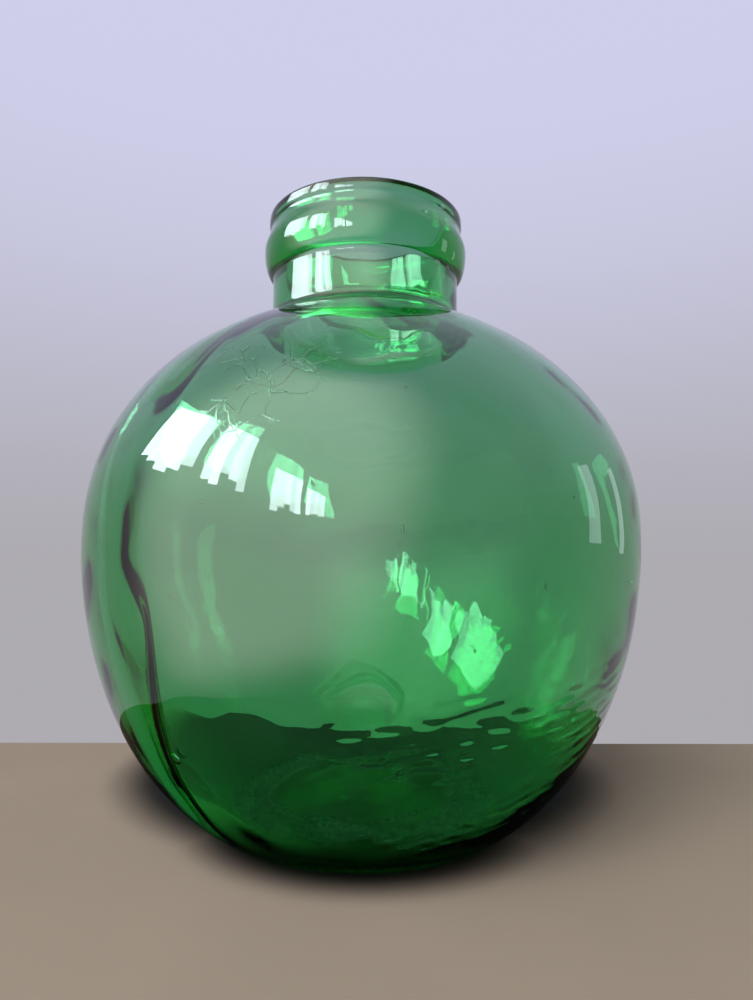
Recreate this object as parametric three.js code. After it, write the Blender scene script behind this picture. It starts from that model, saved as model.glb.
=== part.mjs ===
import * as THREE from "three";

// Glass carboy: one hollow vessel of moulded green glass, held here as the named zones of its wall.
// Millimetres, +Z up, origin at the centre of the foot, on the surface that the carboy stands on.

// Body: two rounded halves that meet at the widest line.
const BELLY_RADIUS = 175; // outside, at the widest line
const BELLY_Z = 179; // height of the widest line
const UPPER_RISE = 156; // height above the widest line at which the upper curve would reach the axis
const UPPER_POWER = 2.19;
const UPPER_ROUND = 0.537;
const LOWER_DROP = 195; // depth below the widest line at which the lower curve would reach the axis
const LOWER_POWER = 1.95;
const LOWER_ROUND = 0.38;

// Wall thickness
const WALL = 5; // shoulder and upper body
const THICKENING_TOP_Z = 250; // below this height the wall grows towards the heel
const THICKENING_POWER = 1.3;
const NECK_WALL = 7;
const HEEL_WALL = 11; // foot and heel, where the glass settles
const BASE_WALL = 13; // middle of the base

// Foot: a flat bearing ring round a shallow push-up.
const FOOT_OUTER_RADIUS = 77;
const FOOT_INNER_RADIUS = 64;
const HEEL_RADIUS = 35; // of the curve from the foot up into the body
const HEEL_SWEEP = 32.5; // degrees of that curve
const PUSH_UP_RISE = 13; // height of the underside's middle above the foot

// Heights at which the body's zones meet
const HEEL_TOP_Z = 38;
const LOWER_BODY_TOP_Z = 112;
const BELLY_TOP_Z = 236;
const UPPER_BODY_TOP_Z = 298;

// Neck and its finish
const NECK_RADIUS = 63; // outside
const BORE_RADIUS = NECK_RADIUS - NECK_WALL; // inside, one bore from neck to lip
const ROOT_FILLET = 9; // radius of the hollow curve between shoulder and neck
const ROOT_SLOPE = 22; // degrees the shoulder falls outwards where that curve ends
const ROOT_EXTRA = 5; // more glass half way round that curve, where the neck was joined on
const BEAD_BOTTOM_Z = 357;
const BEAD_WIDEST_Z = 374;
const BEAD_TOP_Z = 383;
const BEAD_RADIUS = 69;
const COLLAR_RADIUS = 65; // at the notch under the lip
const NOTCH_Z = 389;
const LIP_BOTTOM_Z = 392;
const LIP_RADIUS = 66;
const LIP_EDGE = 2; // rounding of the lip's two edges
const RIM_Z = 398; // flat land on top of the lip

const SEGMENTS = 56; // round the axis

const GLASS_GREEN = 0x2f8f5b;

const radians = THREE.MathUtils.degToRad;

// Points along a circular arc in the profile plane, angles in degrees from +r towards +z.
function arc(centreR, centreZ, radius, from, to, steps) {
  return Array.from({ length: steps + 1 }, (_, i) => {
    const angle = radians(from + ((to - from) * i) / steps);
    return new THREE.Vector2(centreR + radius * Math.cos(angle), centreZ + radius * Math.sin(angle));
  });
}

// Outside radius of the body at height z.
function bodyRadius(z) {
  if (z >= BELLY_Z) {
    return BELLY_RADIUS * (1 - ((z - BELLY_Z) / UPPER_RISE) ** UPPER_POWER) ** UPPER_ROUND;
  }
  return BELLY_RADIUS * (1 - ((BELLY_Z - z) / LOWER_DROP) ** LOWER_POWER) ** LOWER_ROUND;
}

// Height of the upper body's outside where its radius is r: the inverse of bodyRadius.
function shoulderZ(r) {
  return BELLY_Z + UPPER_RISE * (1 - (r / BELLY_RADIUS) ** (1 / UPPER_ROUND)) ** (1 / UPPER_POWER);
}

// Wall thickness of the body at height z: even in the shoulder, growing towards the heel.
function bodyWall(z) {
  const depth = Math.max(0, (THICKENING_TOP_Z - z) / THICKENING_TOP_Z);
  return WALL + (HEEL_WALL - WALL) * depth ** THICKENING_POWER;
}

// Inside point of the body wall, square to the outside at height z.
function bodyInside(z) {
  const step = 0.01;
  const slope = (bodyRadius(z + step) - bodyRadius(z - step)) / (2 * step);
  const square = new THREE.Vector2(-1, slope).normalize().multiplyScalar(bodyWall(z));
  return new THREE.Vector2(bodyRadius(z), z).add(square);
}

// Body wall between two heights as a closed outline: up the outside, down the inside.
function bodyBand(bottomZ, topZ, steps) {
  const heights = Array.from({ length: steps + 1 }, (_, i) => bottomZ + ((topZ - bottomZ) * i) / steps);
  const outside = heights.map((z) => new THREE.Vector2(bodyRadius(z), z));
  const inside = heights.map(bodyInside).reverse();
  return [...outside, ...inside];
}

// A zone of the vessel: its outline turned about the vertical axis, as a closed solid.
function turned(name, outline) {
  const onAxis = outline[0].x === 0;
  const profile = onAxis ? outline : [...outline, outline[0]];
  const geometry = new THREE.LatheGeometry(profile, SEGMENTS);
  geometry.rotateX(Math.PI / 2);
  const material = new THREE.MeshStandardMaterial({ color: GLASS_GREEN, roughness: 0.05, metalness: 0 });
  const mesh = new THREE.Mesh(geometry, material);
  mesh.name = name;
  return mesh;
}

// Where the flat foot turns up into the body.
function heelArc(radius) {
  return arc(FOOT_OUTER_RADIUS, HEEL_RADIUS, radius, -90, HEEL_SWEEP - 90, 3);
}

// Middle of the base: a shallow dome, flat in the centre and falling to the foot.
function pushUp() {
  const share = [0, 0.3, 0.55, 0.78, 1];
  const under = share.map((s) => {
    return new THREE.Vector2(FOOT_INNER_RADIUS * s, (PUSH_UP_RISE * (1 + Math.cos(Math.PI * s))) / 2);
  });
  const over = under.map((p, i) => {
    return new THREE.Vector2(p.x, p.y + THREE.MathUtils.lerp(BASE_WALL, HEEL_WALL, share[i]));
  });
  return turned("push_up", [...under, ...over.reverse()]);
}

function bearingRing() {
  return turned("bearing_ring", [
    new THREE.Vector2(FOOT_INNER_RADIUS, 0),
    new THREE.Vector2(FOOT_OUTER_RADIUS, 0),
    new THREE.Vector2(FOOT_OUTER_RADIUS, HEEL_WALL),
    new THREE.Vector2(FOOT_INNER_RADIUS, HEEL_WALL),
  ]);
}

function heel() {
  const outside = heelArc(HEEL_RADIUS);
  const inside = heelArc(HEEL_RADIUS - HEEL_WALL);
  const firstZ = THREE.MathUtils.lerp(outside.at(-1).y, HEEL_TOP_Z, 1 / 3);
  return turned("heel", [...outside, ...bodyBand(firstZ, HEEL_TOP_Z, 2), ...inside.reverse()]);
}

// Root of the neck: a hollow curve that leaves the shoulder and turns up into the neck.
// The wall goes along it from the body's thickness to the neck's, and is thicker between.
const ROOT_STEPS = 3;
const rootOffset = arc(NECK_RADIUS + ROOT_FILLET, 0, ROOT_FILLET, 270 - ROOT_SLOPE, 180, ROOT_STEPS);
const rootRadius = rootOffset[0].x;
const rootCentre = new THREE.Vector2(NECK_RADIUS + ROOT_FILLET, shoulderZ(rootRadius) - rootOffset[0].y);
const rootOutside = rootOffset.map((p) => new THREE.Vector2(p.x, p.y + rootCentre.y));
const rootInside = rootOutside.map((p, i) => {
  const share = i / ROOT_STEPS;
  const wall = THREE.MathUtils.lerp(WALL, NECK_WALL, share) + ROOT_EXTRA * Math.sin(Math.PI * share);
  return p.clone().sub(rootCentre).setLength(ROOT_FILLET + wall).add(rootCentre);
});

function shoulder() {
  const steps = 4;
  const band = bodyBand(UPPER_BODY_TOP_Z, rootOutside[0].y, steps);
  band[steps + 1] = rootInside[0]; // inside end, shared with the neck
  return turned("shoulder", band);
}

function neck() {
  return turned("neck", [
    ...rootOutside,
    new THREE.Vector2(NECK_RADIUS, BEAD_BOTTOM_Z),
    new THREE.Vector2(BORE_RADIUS, BEAD_BOTTOM_Z),
    ...[...rootInside].reverse(),
  ]);
}

// Outside radius at height z between the bead's widest line and the notch: one soft fall.
function collarRadius(z) {
  const share = (z - BEAD_WIDEST_Z) / (NOTCH_Z - BEAD_WIDEST_Z);
  return COLLAR_RADIUS + ((BEAD_RADIUS - COLLAR_RADIUS) * (1 + Math.cos(Math.PI * share))) / 2;
}

// Transfer bead: a full round lower half over a sharp corner, and the first part of the soft fall above.
function transferBead() {
  const lower = [0, 15, 35, 60, 90].map((angle) => {
    const r = NECK_RADIUS + (BEAD_RADIUS - NECK_RADIUS) * Math.sin(radians(angle));
    const z = BEAD_WIDEST_Z - (BEAD_WIDEST_Z - BEAD_BOTTOM_Z) * Math.cos(radians(angle));
    return new THREE.Vector2(r, z);
  });
  const upper = [1 / 3, 2 / 3, 1].map((share) => {
    const z = THREE.MathUtils.lerp(BEAD_WIDEST_Z, BEAD_TOP_Z, share);
    return new THREE.Vector2(collarRadius(z), z);
  });
  return turned("transfer_bead", [
    ...lower,
    ...upper,
    new THREE.Vector2(BORE_RADIUS, BEAD_TOP_Z),
    new THREE.Vector2(BORE_RADIUS, BEAD_BOTTOM_Z),
  ]);
}

function collar() {
  const fall = [0, 0.5, 1].map((share) => {
    const z = THREE.MathUtils.lerp(BEAD_TOP_Z, NOTCH_Z, share);
    return new THREE.Vector2(collarRadius(z), z);
  });
  return turned("collar", [
    ...fall,
    new THREE.Vector2(LIP_RADIUS, LIP_BOTTOM_Z),
    new THREE.Vector2(BORE_RADIUS, LIP_BOTTOM_Z),
    new THREE.Vector2(BORE_RADIUS, BEAD_TOP_Z),
  ]);
}

// Sealing lip: fire-polished round on both edges, with a flat land on top.
function sealingLip() {
  return turned("sealing_lip", [
    new THREE.Vector2(LIP_RADIUS, LIP_BOTTOM_Z),
    ...arc(LIP_RADIUS - LIP_EDGE, RIM_Z - LIP_EDGE, LIP_EDGE, 0, 90, 3),
    ...arc(BORE_RADIUS + LIP_EDGE, RIM_Z - LIP_EDGE, LIP_EDGE, 90, 180, 3),
    new THREE.Vector2(BORE_RADIUS, LIP_BOTTOM_Z),
  ]);
}

const carboy = new THREE.Group();
carboy.name = "carboy";
carboy.add(
  pushUp(),
  bearingRing(),
  heel(),
  turned("lower_body", bodyBand(HEEL_TOP_Z, LOWER_BODY_TOP_Z, 4)),
  turned("belly", bodyBand(LOWER_BODY_TOP_Z, BELLY_TOP_Z, 5)),
  turned("upper_body", bodyBand(BELLY_TOP_Z, UPPER_BODY_TOP_Z, 4)),
  shoulder(),
  neck(),
  transferBead(),
  collar(),
  sealingLip(),
);

export default carboy;
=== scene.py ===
import math

import bpy
import numpy as np
from mathutils import Matrix, Vector


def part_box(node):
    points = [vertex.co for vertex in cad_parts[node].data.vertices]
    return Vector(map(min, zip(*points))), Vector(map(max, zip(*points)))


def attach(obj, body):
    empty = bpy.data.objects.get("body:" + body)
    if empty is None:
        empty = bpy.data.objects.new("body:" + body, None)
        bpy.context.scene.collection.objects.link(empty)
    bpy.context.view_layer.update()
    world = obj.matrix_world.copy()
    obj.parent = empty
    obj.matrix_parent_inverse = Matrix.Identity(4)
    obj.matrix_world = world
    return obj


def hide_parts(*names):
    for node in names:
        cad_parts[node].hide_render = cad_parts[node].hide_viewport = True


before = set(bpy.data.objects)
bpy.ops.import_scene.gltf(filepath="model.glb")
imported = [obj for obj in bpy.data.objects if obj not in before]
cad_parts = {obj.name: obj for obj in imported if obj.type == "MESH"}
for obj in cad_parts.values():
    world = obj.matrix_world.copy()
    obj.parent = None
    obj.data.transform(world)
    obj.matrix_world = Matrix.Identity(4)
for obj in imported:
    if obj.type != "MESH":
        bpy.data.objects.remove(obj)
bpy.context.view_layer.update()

# ---------------------------------------------------------------- sizes, in metres
MM = 0.001
BELLY_Z = 179 * MM  # widest line of the body
BELLY_RADIUS = 175 * MM
UPPER_RISE, UPPER_POWER, UPPER_ROUND = 156 * MM, 2.19, 0.537
LOWER_DROP, LOWER_POWER, LOWER_ROUND = 195 * MM, 1.95, 0.38
WALL, NECK_WALL, HEEL_WALL, BASE_WALL = 5 * MM, 7 * MM, 11 * MM, 13 * MM
THICKENING_TOP, THICKENING_POWER = 250 * MM, 1.3
FOOT_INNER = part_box("push_up")[1].x
FOOT_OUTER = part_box("bearing_ring")[1].x
HEEL_RADIUS, HEEL_SWEEP = 35 * MM, 32.5
PUSH_UP_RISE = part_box("push_up")[1].z - BASE_WALL
NECK_RADIUS = 63 * MM
BORE_RADIUS = NECK_RADIUS - NECK_WALL
ROOT_FILLET, ROOT_SLOPE = 9 * MM, 22
ROOT_EXTRA = 5 * MM  # more glass where the neck was joined to the shoulder
BEAD_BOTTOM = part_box("transfer_bead")[0].z
BEAD_WIDEST = 374 * MM
BEAD_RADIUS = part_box("transfer_bead")[1].x
NOTCH = 389 * MM  # narrowest line of the collar, close under the lip
COLLAR_RADIUS = 65 * MM
LIP_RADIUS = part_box("sealing_lip")[1].x
LIP_BOTTOM, RIM_Z = (corner.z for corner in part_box("sealing_lip"))
LIP_EDGE = 2 * MM
AROUND = 268  # vertices round the axis
OUTSIDE_ROWS, INSIDE_ROWS = 152, 74  # rows of vertices up the body's two faces

# ---------------------------------------------------------------- camera
IMAGE_WIDTH = 753
FOCAL_PIXELS = 700
CAMERA_BACK = 0.472
CAMERA_HEIGHT = 0.1694
CAMERA_PITCH, CAMERA_YAW, CAMERA_ROLL = 4.5, -1.06, 0.39


def make_camera():
    data = bpy.data.cameras.new("camera")
    data.sensor_fit = "HORIZONTAL"
    data.sensor_width = 36
    data.lens = FOCAL_PIXELS * data.sensor_width / IMAGE_WIDTH
    data.clip_start = 0.01
    camera = bpy.data.objects.new("camera", data)
    turn = Matrix.Rotation(math.radians(CAMERA_YAW), 4, "Z")
    tilt = Matrix.Rotation(math.radians(90 + CAMERA_PITCH), 4, "X")
    roll = Matrix.Rotation(math.radians(CAMERA_ROLL), 4, "Z")
    camera.matrix_world = Matrix.Translation((0, -CAMERA_BACK, CAMERA_HEIGHT)) @ turn @ tilt @ roll
    bpy.context.scene.collection.objects.link(camera)
    bpy.context.scene.camera = camera


# ---------------------------------------------------------------- spacing and blending
def smooth(value, low, high):
    t = np.clip((value - low) / (high - low), 0, 1)
    return t * t * (3 - 2 * t)


def spread(start, end, count, density):
    """Values from start to end, closer together where the density is higher."""
    fine = np.linspace(start, end, 4001)
    share = np.concatenate([[0], np.cumsum((density(fine[1:]) + density(fine[:-1])) / 2)])
    return np.interp(np.linspace(0, share[-1], count), share, fine)


# ---------------------------------------------------------------- profile of the vessel
def body_radius(z):
    up = np.clip((z - BELLY_Z) / UPPER_RISE, 0, 1)
    down = np.clip((BELLY_Z - z) / LOWER_DROP, 0, 1)
    upper = BELLY_RADIUS * (1 - up**UPPER_POWER) ** UPPER_ROUND
    lower = BELLY_RADIUS * (1 - down**LOWER_POWER) ** LOWER_ROUND
    return np.where(z > BELLY_Z, upper, lower)


def shoulder_z(r):
    return BELLY_Z + UPPER_RISE * (1 - (r / BELLY_RADIUS) ** (1 / UPPER_ROUND)) ** (1 / UPPER_POWER)


def body_wall(z):
    depth = np.clip((THICKENING_TOP - z) / THICKENING_TOP, 0, 1)
    return WALL + (HEEL_WALL - WALL) * depth**THICKENING_POWER


def arc(centre, radius, start, end, steps):
    angle = np.radians(np.linspace(start, end, steps))
    return np.stack([centre[0] + radius * np.cos(angle), centre[1] + radius * np.sin(angle)], 1)


def outside_density(z):
    """More rows in the rippled lower body and on the shoulder."""
    return 1 + 3.0 * (1 - smooth(z, 0.10, 0.14)) + 1.2 * smooth(z, 0.28, 0.32)


def inside_density(z):
    """More rows in the heel and on the shoulder."""
    return 1 + 1.5 * (1 - smooth(z, 0.01, 0.04)) + smooth(z, 0.28, 0.32)


def outside_profile():
    """From the axis under the base, out along the foot and up to the rim."""
    share = np.linspace(0, 1, 22)
    push_up = np.stack([FOOT_INNER * share, PUSH_UP_RISE * (1 + np.cos(np.pi * share)) / 2], 1)
    foot = np.linspace((FOOT_INNER, 0), (FOOT_OUTER, 0), 5)[1:]
    heel = arc((FOOT_OUTER, HEEL_RADIUS), HEEL_RADIUS, -90, HEEL_SWEEP - 90, 8)[1:]
    root_offset = arc((NECK_RADIUS + ROOT_FILLET, 0), ROOT_FILLET, 270 - ROOT_SLOPE, 180, 9)
    root_z = shoulder_z(root_offset[0, 0]) - root_offset[0, 1]
    low, high = heel[-1, 1], root_z + root_offset[0, 1]
    heights = spread(low, high, OUTSIDE_ROWS, outside_density)[1:]
    body = np.stack([body_radius(heights), heights], 1)
    root = root_offset[1:] + (0, root_z)
    neck = np.linspace((NECK_RADIUS, root[-1, 1]), (NECK_RADIUS, BEAD_BOTTOM), 9)[1:]
    turn = np.radians(np.linspace(0, 90, 15))[1:]
    swell = BEAD_RADIUS - NECK_RADIUS
    bead_low = np.stack(
        [NECK_RADIUS + swell * np.sin(turn), BEAD_WIDEST - (BEAD_WIDEST - BEAD_BOTTOM) * np.cos(turn)], 1
    )
    share = np.linspace(0, 1, 11)[1:]
    fall = COLLAR_RADIUS + (BEAD_RADIUS - COLLAR_RADIUS) * (1 + np.cos(np.pi * share)) / 2
    collar = np.stack([fall, BEAD_WIDEST + (NOTCH - BEAD_WIDEST) * share], 1)
    flare = np.linspace((COLLAR_RADIUS, NOTCH), (LIP_RADIUS, LIP_BOTTOM), 4)[1:]
    lip = arc((LIP_RADIUS - LIP_EDGE, RIM_Z - LIP_EDGE), LIP_EDGE, 0, 90, 9)
    return np.concatenate([push_up, foot, heel, body, root, neck, bead_low, collar, flare, lip]), root_z


def inside_profile(root_z):
    """From the rim down the bore and the inside of the body to the axis above the base."""
    lip = arc((BORE_RADIUS + LIP_EDGE, RIM_Z - LIP_EDGE), LIP_EDGE, 90, 180, 7)
    bore = np.linspace((BORE_RADIUS, RIM_Z - LIP_EDGE), (BORE_RADIUS, root_z), 16)[1:]
    turn = np.radians(np.linspace(180, 270 - ROOT_SLOPE, 9))[1:]
    share = np.linspace(0, 1, 9)[1:]
    away = ROOT_FILLET + NECK_WALL + (WALL - NECK_WALL) * share + ROOT_EXTRA * np.sin(np.pi * share)
    root = np.stack([NECK_RADIUS + ROOT_FILLET + away * np.cos(turn), root_z + away * np.sin(turn)], 1)
    outer_end = shoulder_z(NECK_RADIUS + ROOT_FILLET * (1 - math.sin(math.radians(ROOT_SLOPE))))
    heel_end = HEEL_RADIUS * (1 - math.cos(math.radians(HEEL_SWEEP)))
    heights = spread(heel_end, outer_end, INSIDE_ROWS, inside_density)[1:-1]
    step = 1e-5
    slope = (body_radius(heights + step) - body_radius(heights - step)) / (2 * step)
    square = np.stack([-np.ones_like(slope), slope], 1) / np.sqrt(1 + slope**2)[:, None]
    body = np.stack([body_radius(heights), heights], 1) + square * body_wall(heights)[:, None]
    heel = arc((FOOT_OUTER, HEEL_RADIUS), HEEL_RADIUS - HEEL_WALL, HEEL_SWEEP - 90, -90, 7)
    share = np.linspace(1, 0, 20)
    over = np.stack(
        [
            FOOT_INNER * share,
            PUSH_UP_RISE * (1 + np.cos(np.pi * share)) / 2 + BASE_WALL + (HEEL_WALL - BASE_WALL) * share,
        ],
        1,
    )
    return np.concatenate([lip, bore, root, body[::-1], heel, over])


def profile_normals(points):
    along = np.gradient(points, axis=0)
    normal = np.stack([along[:, 1], -along[:, 0]], 1)
    return normal / np.linalg.norm(normal, axis=1)[:, None]


# ---------------------------------------------------------------- unevenness of the glass
FOLD_BEARING, FOLD_HALF = -43.5, 8.5  # degrees; bearing 0 faces the camera and +90 is its right
FOLD_EDGE = 2.6  # degrees that its steepest flank takes
FOLD_HEIGHT = 3.4 * MM
FOLD_LEAN = 6.0  # degrees that its right flank moves left towards the heel
FOLD_LOW = 0.09, 0.14  # height over which the thick lower part ends
FOLD_FAINT = (0.135, 0.17), (0.235, 0.265)  # heights over which the faint part starts and ends
FOLD_START, FOLD_END = (0.018, 0.05), (0.285, 0.315)


def swell(theta, z, seed, count, turns, lengths, depth):
    """Soft waves: a sum of ripples, each with a whole number of turns round the axis and its own length."""
    rng = np.random.default_rng(seed)
    total = np.zeros(np.broadcast(theta, z).shape)
    for _ in range(count):
        n = rng.integers(turns[0], turns[1] + 1)
        length = rng.uniform(*lengths)
        round_axis = np.cos(n * theta + rng.uniform(0, 2 * np.pi))
        total += round_axis * np.cos(2 * np.pi * z / length + rng.uniform(0, 2 * np.pi))
    return depth * total * math.sqrt(2 / count)


def bearing_density(bearing):
    return 1 + 2.6 * (1 - smooth(abs(bearing - FOLD_BEARING), 11, 16))


def bearings():
    """Vertex bearings in degrees, closer together across the fold."""
    return spread(-180, 180, AROUND + 1, bearing_density)[:-1]


def fold(bearing, z):
    """A thick lap of glass up the inside of the wall: steep low down and on the shoulder, faint between."""
    low = 1 - smooth(z, *FOLD_LOW)
    high = smooth(z, *FOLD_FAINT[1])
    middle = smooth(z, *FOLD_FAINT[0]) * (1 - high)
    sway = 1.1 * np.sin(z / 0.041 + 0.6) + 0.6 * np.sin(z / 0.017 + 1)
    widen = 1.5 * smooth(z, 0.10, 0.16) - 2.0 * smooth(z, 0.21, 0.26)
    left = FOLD_BEARING - FOLD_HALF - widen - sway * 0.6
    right = FOLD_BEARING + FOLD_HALF + sway - FOLD_LEAN * (1 - smooth(z, 0.05, 0.16))
    right_edge = FOLD_EDGE * (1 + 0.5 * low + 2.6 * middle + 1.6 * high)
    left_edge = FOLD_EDGE * (1 + 1.4 * low + 1.4 * high)
    ridge = smooth((bearing - left) / left_edge, 0, 1) - smooth((bearing - right) / right_edge, -1, 0)
    thick = 0.8 + 0.2 * np.cos(z / 0.028) + 0.9 * low - 0.45 * middle + 0.5 * high
    return FOLD_HEIGHT * thick * ridge * smooth(z, *FOLD_START) * (1 - smooth(z, *FOLD_END))


def ripple(bearing, z):
    """Chill ripples low on one side, where the glass first met the mould: short in height, long round it."""
    theta = np.radians(bearing)
    place = smooth(bearing, -14, 10) * (1 - smooth(bearing, 62, 82)) * smooth(z, 0.014, 0.03)
    place = place * (1 - smooth(z + 0.0003 * abs(bearing - 35), 0.098, 0.128))
    waves = swell(theta, z, seed=21, count=40, turns=(14, 46), lengths=(0.0055, 0.011), depth=0.10 * MM)
    return place * waves


def outside_unevenness(bearing, z):
    theta = np.radians(bearing)
    soft = swell(theta, z, seed=3, count=10, turns=(1, 5), lengths=(0.09, 0.26), depth=0.22 * MM)
    fine = swell(theta, z, seed=5, count=18, turns=(6, 24), lengths=(0.025, 0.08), depth=0.055 * MM)
    return soft + fine + ripple(bearing, z)


def inside_unevenness(bearing, z):
    theta = np.radians(bearing)
    soft = swell(theta, z, seed=11, count=10, turns=(1, 6), lengths=(0.07, 0.22), depth=0.45 * MM)
    fine = swell(theta, z, seed=13, count=24, turns=(6, 30), lengths=(0.02, 0.07), depth=0.11 * MM)
    return soft + fine + fold(bearing, z)


# ---------------------------------------------------------------- seeds: gas bubbles sealed in the wall
SEED_COUNT = 46
SEED_SIZES = 0.25 * MM, 0.75 * MM  # half widths
SEED_HEIGHTS = 0.04, 0.31
SEED_STRETCH = 1.1, 2.4  # height for width
SEED_FLATNESS = 0.8  # depth for width
SEED_AROUND, SEED_RINGS = 10, 6
NAMED_SEEDS = [  # bearing, height, half sizes along the wall, up the wall and through it
    (-38.0, 0.068, 3.6 * MM, 3.4 * MM, 1.0 * MM),
    (-15.0, 0.262, 0.9 * MM, 1.5 * MM, 0.6 * MM),
    (-31.0, 0.150, 0.8 * MM, 1.3 * MM, 0.6 * MM),
    (-25.0, 0.193, 0.8 * MM, 1.2 * MM, 0.6 * MM),
]


def seed_shape(bearing, z, half):
    """An ellipsoid lying in the wall, its faces turned inwards because it encloses gas and not glass."""
    rise = 1e-4
    slope = float(body_radius(z + rise) - body_radius(z - rise)) / (2 * rise)
    angle = math.radians(bearing - 90)
    outward = Vector((math.cos(angle), math.sin(angle), -slope)).normalized()
    along = Vector((-math.sin(angle), math.cos(angle), 0))
    up = outward.cross(along)
    radius = float(body_radius(z))
    on_wall = Vector((radius * math.cos(angle), radius * math.sin(angle), z))
    centre = on_wall - outward * float(body_wall(z)) / 2
    verts, faces = [centre + outward * half[2]], []
    for ring in range(1, SEED_RINGS):
        tilt = math.pi * ring / SEED_RINGS
        for step in range(SEED_AROUND):
            turn = 2 * math.pi * step / SEED_AROUND
            flat = math.sin(tilt)
            verts.append(
                centre
                + along * half[0] * flat * math.cos(turn)
                + up * half[1] * flat * math.sin(turn)
                + outward * half[2] * math.cos(tilt)
            )
    verts.append(centre - outward * half[2])
    last = len(verts) - 1
    for step in range(SEED_AROUND):
        after = (step + 1) % SEED_AROUND
        faces.append((0, 1 + after, 1 + step))
        bottom = 1 + (SEED_RINGS - 2) * SEED_AROUND
        faces.append((last, bottom + step, bottom + after))
        for ring in range(SEED_RINGS - 2):
            a = 1 + ring * SEED_AROUND
            b = a + SEED_AROUND
            faces.append((a + step, a + after, b + after, b + step))
    return [tuple(v) for v in verts], faces


def seeds():
    rng = np.random.default_rng(7)
    placed = list(NAMED_SEEDS)
    for _ in range(SEED_COUNT):
        size = rng.uniform(*SEED_SIZES)
        bearing = rng.uniform(-180, 180)
        z = rng.uniform(*SEED_HEIGHTS)
        placed.append((bearing, z, size, size * rng.uniform(*SEED_STRETCH), size * SEED_FLATNESS))
    return [seed_shape(bearing, z, half) for bearing, z, *half in placed]


# ---------------------------------------------------------------- the vessel's mesh
def vessel_mesh():
    outside, root_z = outside_profile()
    inside = inside_profile(root_z)
    bearing = bearings()[None, :]
    theta = np.radians(bearing - 90)

    def skin(points, unevenness):
        normal = profile_normals(points)
        r, z = points[:, :1], points[:, 1:]
        calm = smooth(z, 0.004, 0.03) * smooth(r, 0.01, 0.04) * (1 - 0.75 * smooth(z, 0.33, 0.345))
        shift = unevenness(bearing, z) * calm
        radius = r + normal[:, :1] * shift
        height = z + normal[:, 1:] * shift
        return np.stack([radius * np.cos(theta), radius * np.sin(theta), height], -1)

    out = skin(outside, outside_unevenness)
    ins = skin(inside, inside_unevenness)
    rings = np.concatenate([out[1:], ins[:-1]])
    rows = len(rings)
    under, over = out[0, 0], ins[-1, 0]
    verts = np.concatenate([rings.reshape(-1, 3), [under, over]]).tolist()
    ring = np.arange(AROUND)
    after = (ring + 1) % AROUND
    row = np.arange(rows - 1)[:, None] * AROUND
    corners = [row + ring, row + after, row + AROUND + after, row + AROUND + ring]
    quads = np.stack(corners, -1).reshape(-1, 4)
    last = (rows - 1) * AROUND
    faces = quads.tolist()
    faces += [(rows * AROUND, int(b), int(a)) for a, b in zip(ring, after)]
    faces += [(rows * AROUND + 1, int(last + a), int(last + b)) for a, b in zip(ring, after)]
    for seed_verts, seed_faces in seeds():
        first = len(verts)
        verts += seed_verts
        faces += [tuple(first + i for i in face) for face in seed_faces]
    mesh = bpy.data.meshes.new("vessel")
    mesh.from_pydata(verts, [], faces)
    mesh.validate()
    mesh.update()
    mesh.polygons.foreach_set("use_smooth", [True] * len(mesh.polygons))
    return mesh


# ---------------------------------------------------------------- materials
class Graph:
    """A material's node tree with short calls for the nodes that the glass uses."""

    def __init__(self, name):
        self.material = bpy.data.materials.new(name)
        self.material.use_nodes = True
        self.tree = self.material.node_tree
        self.shader = self.tree.nodes["Principled BSDF"]
        self.place = self.tree.nodes.new("ShaderNodeTexCoord").outputs["Object"]

    def plug(self, value, socket):
        if isinstance(value, bpy.types.NodeSocket):
            self.tree.links.new(value, socket)
        else:
            socket.default_value = value

    def add(self, kind, output, settings=None, **inputs):
        node = self.tree.nodes.new(kind)
        for key, value in (settings or {}).items():
            setattr(node, key, value)
        for key, value in inputs.items():
            self.plug(value, node.inputs[key.replace("_", " ")])
        return node.outputs[output]

    def math(self, operation, first, second):
        node = self.tree.nodes.new("ShaderNodeMath")
        node.operation = operation
        self.plug(first, node.inputs[0])
        self.plug(second, node.inputs[1])
        return node.outputs[0]

    def band(self, value, low, high, start=0.0, end=1.0):
        settings = {"interpolation_type": "SMOOTHSTEP"}
        node = {"Value": value, "From_Min": low, "From_Max": high, "To_Min": start, "To_Max": end}
        return self.add("ShaderNodeMapRange", "Result", settings, **node)

    def noise(self, scale, detail=2.0, stretch=None):
        place = self.place
        if stretch:
            place = self.add("ShaderNodeMapping", "Vector", None, Vector=self.place, Scale=stretch)
        return self.add("ShaderNodeTexNoise", "Fac", None, Vector=place, Scale=scale, Detail=detail)

    def mix(self, share, first, second):
        node = self.tree.nodes.new("ShaderNodeMix")
        node.data_type = "RGBA"
        for socket, value in (("Factor_Float", share), ("A_Color", first), ("B_Color", second)):
            self.plug(value, next(i for i in node.inputs if i.identifier == socket))
        return next(o for o in node.outputs if o.identifier == "Result_Color")

    def away_from(self, spot):
        node = self.tree.nodes.new("ShaderNodeVectorMath")
        node.operation = "DISTANCE"
        self.plug(self.place, node.inputs[0])
        node.inputs[1].default_value = spot
        return node.outputs["Value"]

    def near(self, bearing, z, reach):
        """1 around a spot on the outside of the wall, fading to 0 at the reach."""
        angle = math.radians(bearing - 90)
        radius = float(body_radius(z))
        spot = (radius * math.cos(angle), radius * math.sin(angle), z)
        return self.band(self.away_from(spot), reach * 0.35, reach, 1.0, 0.0)


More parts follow.
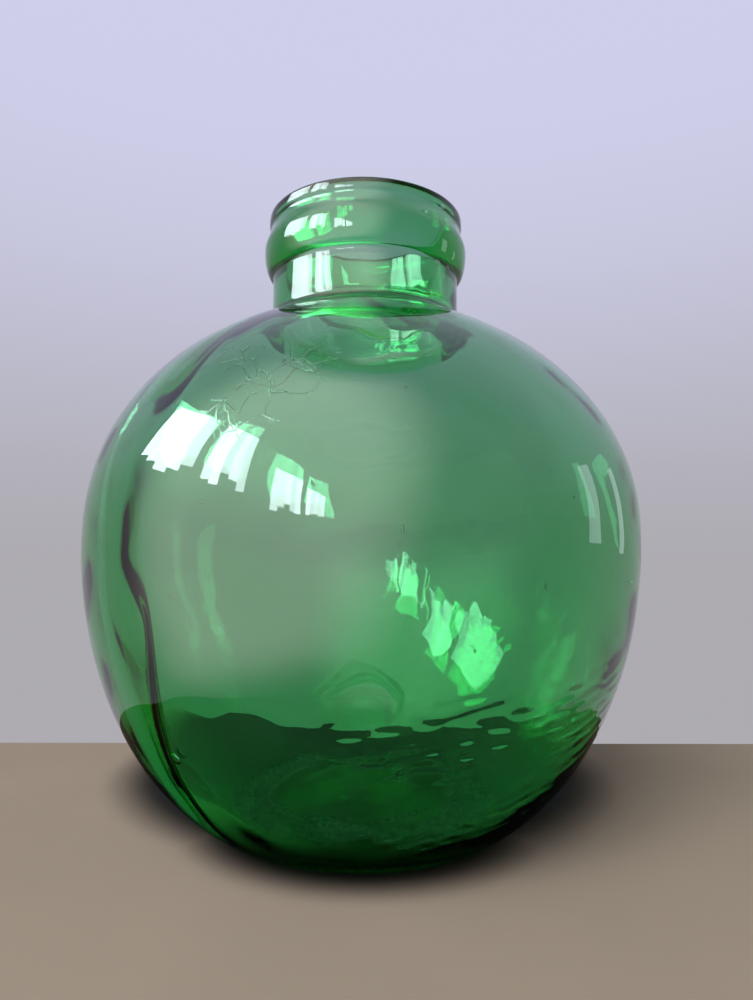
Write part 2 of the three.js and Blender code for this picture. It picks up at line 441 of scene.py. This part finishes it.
GLASS_IOR = 1.52
ABSORBED_COLOUR, ABSORBED_DENSITY = (0.04, 0.88, 0.36, 1), 125  # passes green, takes red and some blue
FOOT_ROUGH, RUB_ROUGH, SCRATCH_ROUGH, DUST_ROUGH, RESIDUE_ROUGH = 0.5, 0.10, 0.35, 0.03, 0.6
SCRATCH_BEARING, SCRATCH_Z, SCRATCH_REACH = -20, 0.255, 0.050
GRAIN, SCRATCH_DEPTH, FOOT_DEPTH = 0.02, 0.25, 0.4  # shares of the relief's depth
RELIEF_DEPTH = 0.5 * MM
FOOT_WEAR = 0.0005, 0.0025  # height over which the ground foot ends
BELT = (0.150, 0.172), (0.186, 0.208)  # heights over which the rub marks start and end
RESIDUE_HEIGHTS, RESIDUE_RADII = ((0.0105, 0.0125), (0.026, 0.036)), (0.070, 0.092)
DUST_HEIGHTS = 0.27, 0.34


def hairlines(graph, scale, width):
    """Thin wandering scratches: the borders of cells on a warped grid."""
    warp = graph.add("ShaderNodeTexNoise", "Color", None, Vector=graph.place, Scale=scale * 0.6, Detail=2.0)
    vector = {"data_type": "VECTOR"}
    moved = graph.add("ShaderNodeMix", "Result", vector, Factor=0.02, A=graph.place, B=warp)
    edges = {"feature": "DISTANCE_TO_EDGE"}
    cells = graph.add("ShaderNodeTexVoronoi", "Distance", edges, Vector=moved, Scale=scale)
    return graph.band(cells, 0.0, width, 1.0, 0.0)


def worn_foot(graph, height):
    """Ground dull where it has been slid about."""
    low = graph.band(height, *FOOT_WEAR, 1.0, 0.0)
    return graph.math("MULTIPLY", low, graph.band(graph.noise(260.0), 0.35, 0.6, 0.35, 1.0))


def rub_marks(graph, height):
    """Short level marks round the widest line, where carboys touch each other."""
    marks = graph.band(graph.noise(90.0, 3.0, (1.0, 1.0, 9.0)), 0.62, 0.72)
    above = graph.band(height, *BELT[0])
    below = graph.band(height, *BELT[1], 1.0, 0.0)
    return graph.math("MULTIPLY", marks, graph.math("MULTIPLY", above, below))


def scratches(graph):
    """One patch of scratches on the front of the shoulder."""
    lines = hairlines(graph, 60.0, 0.02)
    broken = graph.band(graph.noise(38.0), 0.44, 0.54)
    patch = graph.math("MULTIPLY", graph.near(SCRATCH_BEARING, SCRATCH_Z, SCRATCH_REACH), broken)
    return graph.math("MULTIPLY", lines, patch)


def dried_residue(graph, height):
    """Dried on the inside of the base."""
    above = graph.band(height, *RESIDUE_HEIGHTS[0])
    below = graph.band(height, *RESIDUE_HEIGHTS[1], 1.0, 0.0)
    level = graph.math("MULTIPLY", above, below)
    disc = graph.band(graph.away_from((0, 0, 0.02)), *RESIDUE_RADII, 1.0, 0.0)
    patchy = graph.band(graph.noise(45.0, 4.0), 0.3, 0.65, 0.45, 1.0)
    return graph.math("MULTIPLY", graph.math("MULTIPLY", level, disc), patchy)


def light_dust(graph, height):
    """A light bloom on the upward-facing shoulder."""
    patchy = graph.band(graph.noise(55.0, 5.0), 0.5, 0.75)
    return graph.math("MULTIPLY", graph.band(height, *DUST_HEIGHTS), patchy)


def glass_material():
    graph = Graph("green_glass")
    shader = graph.shader
    shader.inputs["Base Color"].default_value = (1, 1, 1, 1)
    shader.inputs["Transmission Weight"].default_value = 1
    shader.inputs["IOR"].default_value = GLASS_IOR
    height = graph.add("ShaderNodeSeparateXYZ", "Z", None, Vector=graph.place)
    foot = worn_foot(graph, height)
    lines = scratches(graph)

    rough = graph.math("MULTIPLY", foot, FOOT_ROUGH)
    for share, amount in (
        (rub_marks(graph, height), RUB_ROUGH),
        (lines, SCRATCH_ROUGH),
        (light_dust(graph, height), DUST_ROUGH),
        (dried_residue(graph, height), RESIDUE_ROUGH),
    ):
        rough = graph.math("ADD", rough, graph.math("MULTIPLY", share, amount))
    graph.plug(rough, shader.inputs["Roughness"])

    relief = graph.math("MULTIPLY", graph.noise(140.0, 3.0), GRAIN)
    relief = graph.math("SUBTRACT", relief, graph.math("MULTIPLY", lines, SCRATCH_DEPTH))
    ground = graph.math("MULTIPLY", foot, graph.noise(900.0))
    relief = graph.math("ADD", relief, graph.math("MULTIPLY", ground, FOOT_DEPTH))
    bump = graph.add("ShaderNodeBump", "Normal", None, Strength=1.0, Distance=RELIEF_DEPTH, Height=relief)
    graph.plug(bump, shader.inputs["Normal"])

    volume = graph.tree.nodes.new("ShaderNodeVolumeAbsorption")
    volume.inputs["Color"].default_value = ABSORBED_COLOUR
    volume.inputs["Density"].default_value = ABSORBED_DENSITY
    graph.tree.links.new(volume.outputs["Volume"], graph.tree.nodes["Material Output"].inputs["Volume"])
    return graph.material


# pale floor colour, and the near-black colour of the shade painted round the carboy
PALE, PAINTED_SHADE = (0.50, 0.43, 0.34, 1), (0.008, 0.008, 0.007, 1)
PAINTED_SHADE_UNDER = (0, 0, 0), 0.085, 0.125  # centre of a round painted shade on the floor, end of its dark, end of its fade
PAINTED_SHADE_BEHIND = (0, 0.115, 0), 0.160, 0.205
# a deeper painted shade on the disc that only the glass mirrors
PAINTED_SHADE_MIRRORED = (0, 0, 0), 0.14, 0.30


def floor_material(name, painted_shades):
    """Pale and plain, with the deep shade that a dark vessel casts under and behind it painted into its
    colour.
    """
    graph = Graph(name)
    lit = 1.0
    # painted shade: each round darkens the floor's colour towards its centre
    for centre, dark, clear in painted_shades:
        lit = graph.math("MINIMUM", lit, graph.band(graph.away_from(centre), dark, clear))
    blotches = graph.band(graph.noise(7.0, 3.0), 0.3, 0.7, 0.94, 1.0)
    shaded = graph.mix(lit, PAINTED_SHADE, PALE)
    graph.plug(graph.mix(blotches, (0, 0, 0, 1), shaded), graph.shader.inputs["Base Color"])
    graph.plug(graph.band(graph.noise(30.0, 4.0), 0.3, 0.7, 0.88, 0.94), graph.shader.inputs["Roughness"])
    graph.shader.inputs["Specular IOR Level"].default_value = 0.15
    return graph.material


# ---------------------------------------------------------------- stage and light
WALL_LOW = (0.42, 0.41, 0.44)
WALL_HIGH = (0.62, 0.62, 0.82)
ROOM_BRIGHT = (2.9, 2.5, 2.6)  # lit side of the room, on the window side of the camera
ROOM_DIM = (0.14, 0.14, 0.14)  # the rest of the room
BELOW = (0.03, 0.03, 0.03)
BLACK = (0.0, 0.0, 0.0)
BRIGHT_BEARING, BRIGHT_RISE = -48.0, 0.35  # middle of the lit side
BRIGHT_EDGE = 0.22, 0.80  # how squarely a direction faces that middle, from dim to fully lit
AHEAD_EDGE = -0.35, 0.25  # northing of a direction, from the room to the wall

# steepness of a direction (-1 straight down, 1 straight up) over which one light becomes another
WALL_RISE = -0.05, 0.6
MIRRORED_LIT, MIRRORED_BELOW, MIRRORED_CEILING = (-0.8, -0.4), (-0.76, -0.46), (0.93, 0.98)
THROUGH_SHADED, THROUGH_LIT, THROUGH_BELOW = (0.15, 0.42), (-0.10, 0.35), (-0.46, -0.27)
SHADE_LOW, SHADE_HIGH = 0.62, 0.50  # share of its light that the wall keeps behind the carboy

WINDOW_BEARING, WINDOW_AWAY = -80.0, 1.2  # of the wall that holds the windows
WINDOW_GLOW = 18.0
WINDOW_COLOUR = (0.80, 0.94, 1.0)
PANES = [  # left, right, sill and head, along the window wall
    (-0.36, 0.30, 0.56, 1.22),
    (0.42, 0.92, 0.56, 1.26),
    (1.30, 1.95, 0.42, 0.98),
    (2.10, 2.80, 0.44, 0.92),
]
KEY_PLACE, KEY_TARGET = (-0.55, -1.25, 1.35), (0, 0, 0.1)
KEY_SIZE, KEY_GLOW, KEY_COLOUR = 0.9, 7.0, (1, 0.98, 0.95)
FLOOR_BACK, FLOOR_SIDE = 0.175, 1.4
MIRRORED, MIRRORED_SIDES, MIRRORED_Z = 0.28, 64, -0.1 * MM  # disc that only the glass mirrors
WINDOW_STRIPS, SILL_CLUTTER, STRIP_GLOWS = 5, 0.16, (0.55, 1.0)
SLITS = [  # narrow lights on the right: place, point they face, width, height, glow
    ("slit_right", (1.3, 0.05, 0.42), (0, 0.05, 0.42), 0.16, 0.5, 1.8),
    ("slit_back_right", (1.25, 0.5, 0.36), (0, 0, 0.3), 0.10, 0.45, 1.2),
]


def flat(name, corners, height, material):
    mesh = bpy.data.meshes.new(name)
    mesh.from_pydata([(x, y, height) for x, y in corners], [], [tuple(range(len(corners)))])
    mesh.materials.append(material)
    piece = bpy.data.objects.new(name, mesh)
    bpy.context.scene.collection.objects.link(piece)
    return piece


def make_floor():
    """A wide floor that ends behind the carboy. The glass mirrors only the part close round it, a disc with
    a deeper shade painted into its colour.
    """
    material = floor_material("floor", [PAINTED_SHADE_UNDER, PAINTED_SHADE_BEHIND])
    front = [(-FLOOR_SIDE, -FLOOR_SIDE), (FLOOR_SIDE, -FLOOR_SIDE)]
    back = [(FLOOR_SIDE, FLOOR_BACK), (-FLOOR_SIDE, FLOOR_BACK)]
    floor = flat("floor", front + back, 0, material)
    floor.visible_glossy = False
    turns = [2 * math.pi * step / MIRRORED_SIDES for step in range(MIRRORED_SIDES)]
    ring = [(MIRRORED * math.cos(turn), min(MIRRORED * math.sin(turn), FLOOR_BACK)) for turn in turns]
    # painted shade: the mirrored disc's colour is dark round the carboy
    dark = floor_material("floor_mirrored", [PAINTED_SHADE_MIRRORED])
    mirrored = flat("floor_mirrored", ring, MIRRORED_Z, dark)
    for ray in ("camera", "diffuse", "transmission", "volume_scatter", "shadow"):
        setattr(mirrored, "visible_" + ray, False)


class Sky:
    """Short calls for the nodes of the world."""

    def __init__(self):
        world = bpy.data.worlds.new("studio")
        bpy.context.scene.world = world
        world.use_nodes = True
        self.tree = world.node_tree
        self.background = self.tree.nodes["Background"]
        self.way = self.tree.nodes.new("ShaderNodeTexCoord").outputs["Generated"]
        self.path = self.tree.nodes.new("ShaderNodeLightPath").outputs

    def along(self, direction):
        node = self.tree.nodes.new("ShaderNodeVectorMath")
        node.operation = "DOT_PRODUCT"
        self.tree.links.new(self.way, node.inputs[0])
        node.inputs[1].default_value = direction
        return node.outputs["Value"]

    def band(self, value, low, high, start=0.0, end=1.0):
        node = self.tree.nodes.new("ShaderNodeMapRange")
        node.interpolation_type = "SMOOTHSTEP"
        self.tree.links.new(value, node.inputs["Value"])
        for key, number in zip(("From Min", "From Max", "To Min", "To Max"), (low, high, start, end)):
            node.inputs[key].default_value = number
        return node.outputs["Result"]

    def blend(self, share, first, second):
        node = self.tree.nodes.new("ShaderNodeMix")
        node.data_type = "RGBA"
        self.tree.links.new(share, node.inputs["Factor"])
        for socket, value in ((node.inputs["A"], first), (node.inputs["B"], second)):
            if isinstance(value, tuple):
                socket.default_value = (*value, 1)
            else:
                self.tree.links.new(value, socket)
        return node.outputs["Result"]


def make_world():
    """A pale wall behind the carboy. What the glass shows has a lit and a dim side of a room as well."""
    sky = Sky()
    up = sky.along((0, 0, 1))
    wall = sky.blend(sky.band(up, *WALL_RISE), WALL_LOW, WALL_HIGH)
    bearing = math.radians(BRIGHT_BEARING)
    bright = sky.band(sky.along((math.sin(bearing), -math.cos(bearing), BRIGHT_RISE)), *BRIGHT_EDGE)
    ahead = sky.band(sky.along((0, 1, 0)), *AHEAD_EDGE)

    # mirrored on the outside of the glass
    lit = sky.blend(sky.band(up, *MIRRORED_LIT), BELOW, ROOM_BRIGHT)
    mirrored = sky.blend(ahead, sky.blend(bright, ROOM_DIM, lit), wall)
    mirrored = sky.blend(sky.band(up, *MIRRORED_BELOW), BELOW, mirrored)
    mirrored = sky.blend(sky.band(up, *MIRRORED_CEILING), mirrored, ROOM_DIM)

    # seen through the glass: the shaded part of the wall and the dark below
    shaded = sky.blend(sky.band(up, *THROUGH_SHADED, SHADE_LOW, SHADE_HIGH), BLACK, wall)
    lit = sky.blend(sky.band(up, *THROUGH_LIT), BELOW, ROOM_BRIGHT)
    through = sky.blend(ahead, sky.blend(bright, ROOM_DIM, lit), shaded)
    through = sky.blend(sky.band(up, *THROUGH_BELOW), BLACK, through)

    seen = sky.blend(sky.path["Is Transmission Ray"], mirrored, through)
    seen = sky.blend(sky.path["Is Camera Ray"], seen, wall)
    lighting = sky.blend(sky.path["Is Diffuse Ray"], seen, ROOM_DIM)
    sky.tree.links.new(lighting, sky.background.inputs["Color"])


def make_panel(name, place, target, width, height, glow, colour):
    """A rectangular light of even glow that the camera doesn't see directly."""
    light = bpy.data.lights.new(name, "AREA")
    light.shape = "RECTANGLE"
    light.size, light.size_y = width, height
    light.energy = glow * math.pi * width * height
    light.color = colour
    panel = bpy.data.objects.new(name, light)
    panel.location = place
    panel.rotation_euler = (Vector(target) - Vector(place)).to_track_quat("-Z", "Y").to_euler()
    panel.visible_camera = False
    bpy.context.scene.collection.objects.link(panel)
    return panel


def make_windows():
    """Windows that show in the glass, as strips of uneven height so that their sills look cluttered."""
    rng = np.random.default_rng(17)
    bearing = math.radians(WINDOW_BEARING)
    out = Vector((math.sin(bearing), -math.cos(bearing), 0))
    along = Vector((math.cos(bearing), math.sin(bearing), 0))
    for number, (left, right, sill, head) in enumerate(PANES):
        width = (right - left) / WINDOW_STRIPS
        for strip in range(WINDOW_STRIPS):
            low = sill + rng.uniform(0, SILL_CLUTTER)
            place = out * WINDOW_AWAY + along * (left + width * (strip + 0.5))
            place.z = (low + head) / 2
            glow = WINDOW_GLOW * rng.uniform(*STRIP_GLOWS)
            name = f"window_{number}_{strip}"
            panel = make_panel(name, place, place - out, width, head - low, glow, WINDOW_COLOUR)
            panel.visible_diffuse = False
    for slit in SLITS:
        make_panel(*slit, WINDOW_COLOUR)


def make_key():
    """A soft light over the camera's left shoulder, which lights the floor and doesn't show in the glass."""
    key = make_panel("key", KEY_PLACE, KEY_TARGET, KEY_SIZE, KEY_SIZE, KEY_GLOW, KEY_COLOUR)
    key.visible_glossy = False
    key.visible_transmission = False


# ---------------------------------------------------------------- put together
make_camera()
vessel = bpy.data.objects.new("vessel", vessel_mesh())
vessel.data.materials.append(glass_material())
bpy.context.scene.collection.objects.link(vessel)
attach(vessel, "root")
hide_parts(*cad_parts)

make_floor()
make_world()
make_windows()
make_key()
bpy.context.scene.view_settings.view_transform = "Standard"
bpy.context.scene.cycles.caustics_refractive = False
